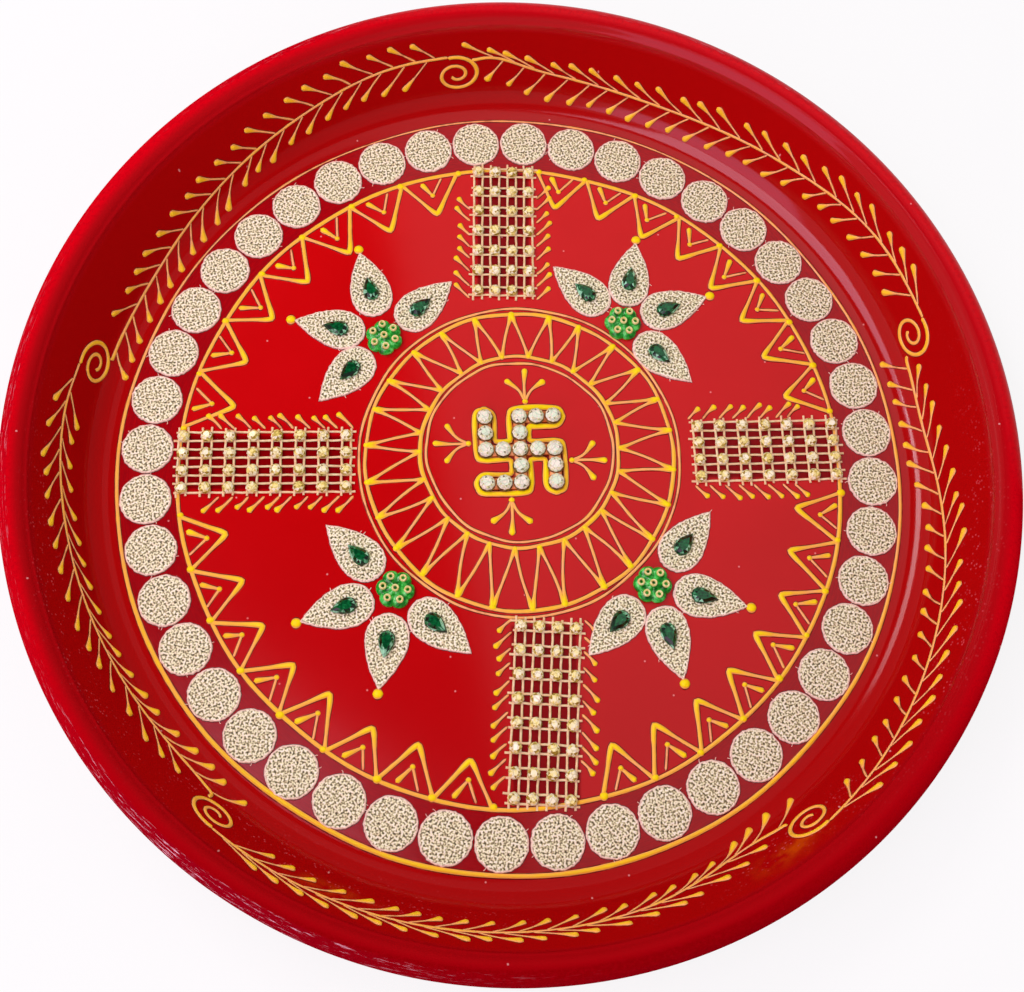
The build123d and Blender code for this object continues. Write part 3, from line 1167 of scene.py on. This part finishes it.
def make_paint():
    """Amber relief paint: deep yellow where it is thick, pale and pinkish where it runs thin, and dark brown
    as painted shadow along its feathered foot.
    """
    s = new_material("piped_paint", Roughness=0.32, Specular_IOR_Level=0.15, Subsurface_Weight=0.1,
                     Subsurface_Scale=0.0008)
    place = s.place()
    mottle = s.spread(s.noise(place, 260.0, 3.0), 0.3, 0.7, -0.08, 0.08)
    # the darkest stops are painted shadow along the foot of a line
    s.feed("Base Color", s.ramp(s.plus(s.tone(), mottle), (0.0, 84, 12, 0), (0.14, 196, 92, 30),
                                (0.26, 255, 184, 122), (0.42, 255, 190, 84), (0.62, 255, 202, 44),
                                (0.88, 255, 230, 8)))
    s.bump(s.noise(place, 1100.0, 2.0), 0.15, 0.0002)


# Stage, light and camera

def make_floor():
    half = 4.0
    height = -0.0004
    mesh = bpy.data.meshes.new("floor")
    corners = [(x, y, height) for x, y in ((-half, -half), (half, -half), (half, half), (-half, half))]
    mesh.from_pydata(corners, [], [(0, 1, 2, 3)])
    floor = bpy.data.objects.new("floor", mesh)
    scene.collection.objects.link(floor)
    s = new_material("pale_floor", Roughness=0.9, Base_Color=grey(0.88), Specular_IOR_Level=0.0)
    path = s.node("LightPath").outputs
    seen = s.math("MAXIMUM", s.math("MAXIMUM", path["Is Camera Ray"], path["Is Glossy Ray"]),
                  path["Is Transmission Ray"])
    glow = s.node("Emission", {"Color": grey(1.0), "Strength": 1.0})
    mixed = s.node("MixShader", {0: s.times(seen, 0.85), 1: s.main.outputs[0], 2: glow.outputs[0]})
    s.tree.links.new(mixed.outputs[0], s.tree.nodes["Material Output"].inputs["Surface"])
    mesh.materials.append(looks["pale_floor"])


def make_world():
    """White at the horizon and dim overhead, so that the gloss of the dish stays deep red."""
    scene.world = bpy.data.worlds.new("studio")
    s = Shader(scene.world, "Background")
    height = s.split(s.node("TexCoord").outputs["Generated"])["Z"]
    levels = ((0.06, 1.0), (0.16, 0.4), (0.6, 0.33), (0.8, 0.3), (0.85, 0.04))
    s.feed("Color", s.ramp(height, *levels, colour=grey))


def make_light(name, place, size, power, colour, turn=None, mirrored=True):
    """Soft light that faces the plate, or straight down with a turn. The gloss shows it if it is mirrored."""
    data = bpy.data.lights.new(name, "AREA")
    data.shape = "RECTANGLE"
    data.size, data.size_y = size
    data.energy = power
    data.color = colour
    light = bpy.data.objects.new(name, data)
    light.location = place
    light.rotation_euler = (0, 0, radians(turn)) if turn else Vector(place).to_track_quat("Z", "Y").to_euler()
    light.visible_camera = False
    light.visible_glossy = mirrored
    scene.collection.objects.link(light)


def make_camera():
    data = bpy.data.cameras.new("camera")
    data.sensor_width = 36.0
    data.lens = camera_focus * data.sensor_width / image_width
    data.shift_y = camera_shift / image_width
    data.clip_start = 0.01
    camera = bpy.data.objects.new("camera", data)
    camera.location = camera_place * mm
    camera.rotation_mode = "ZYX"
    camera.rotation_euler = [radians(a) for a in camera_turn]
    scene.collection.objects.link(camera)
    scene.camera = camera


make_enamel()
make_lurex()
# gloss, strength of the lines, then the painted colours of the facets, from painted shade to painted glints
make_stone("green_gem", 0.5, 0.35, (0.4, 0, 24, 10), (0.47, 0, 62, 28), (0.54, 8, 116, 56),
           (0.62, 160, 236, 190))
make_stone("net_stone", 0.6, 0.4, (0.4, 158, 136, 36), (0.46, 250, 236, 128), (0.56, 255, 255, 216))
make_stone("rhinestone", 0.7, 0.3, (0.33, 112, 112, 84), (0.4, 226, 236, 160), (0.46, 255, 250, 222),
           (0.51, 214, 246, 204), (0.56, 252, 248, 222), (0.62, 246, 255, 226))
# clear green moulding, pale gold beads, peach filaments, and dull plated cups darkened as painted shade in
# the gaps between the stones
make_mottled("green_flower", 620.0, 3.0, (0.34, 2, 96, 18), (0.5, 16, 172, 40), (0.68, 104, 236, 112),
             relief=0.35, depth=0.0003, grain=0.6, Roughness=0.12, IOR=1.49, Subsurface_Weight=0.35,
             Subsurface_Scale=0.002)
make_mottled("gold_seed", 1500.0, 2.0, (0.3, 226, 212, 104), (0.65, 255, 255, 186), Metallic=0.1,
             Roughness=0.2)
make_mottled("net_filament", 700.0, 3.0, (0.3, 238, 198, 140), (0.68, 255, 234, 184), Roughness=0.3,
             Subsurface_Weight=0.15, Subsurface_Scale=0.0006)
make_mottled("stone_cup", 800.0, 3.0, (0.35, 84, 62, 26), (0.65, 176, 146, 76), relief=0.0, Metallic=0.5,
             Roughness=0.3)
make_paint()

plate_shell()
fabric_discs()
for flower in ("north_east", "north_west", "south_west", "south_east"):
    flower_parts(flower)
for strip in strips:
    bead_net(strip)
swastik()
floor_lines()
triangle_border()
sun_ring()
vine()

make_floor()
make_world()
make_light("window", (-0.536, -0.157, 1.2), (0.8, 0.84), 8.2, (1.0, 0.76, 0.97), turn=-34.8)
make_light("doorway", (-0.68, -0.9, 0.68), (0.9, 1.05), 4.8, (1.0, 0.6, 1.0))
make_light("back_window", (-0.639, 0.575, 1.1), (0.5, 0.56), 7.4, (1.0, 0.9, 0.94), turn=138)
make_light("overhead", (0.231, 0.374, 1.1), (0.477, 0.818), 1.0, (1.0, 0.97, 1.0), turn=12.5)
make_light("fill", (1.0, -0.1, 0.35), (0.8, 0.35), 1.6, (1.0, 0.88, 0.76), mirrored=False)
make_camera()
scene.view_settings.view_transform = "Standard"
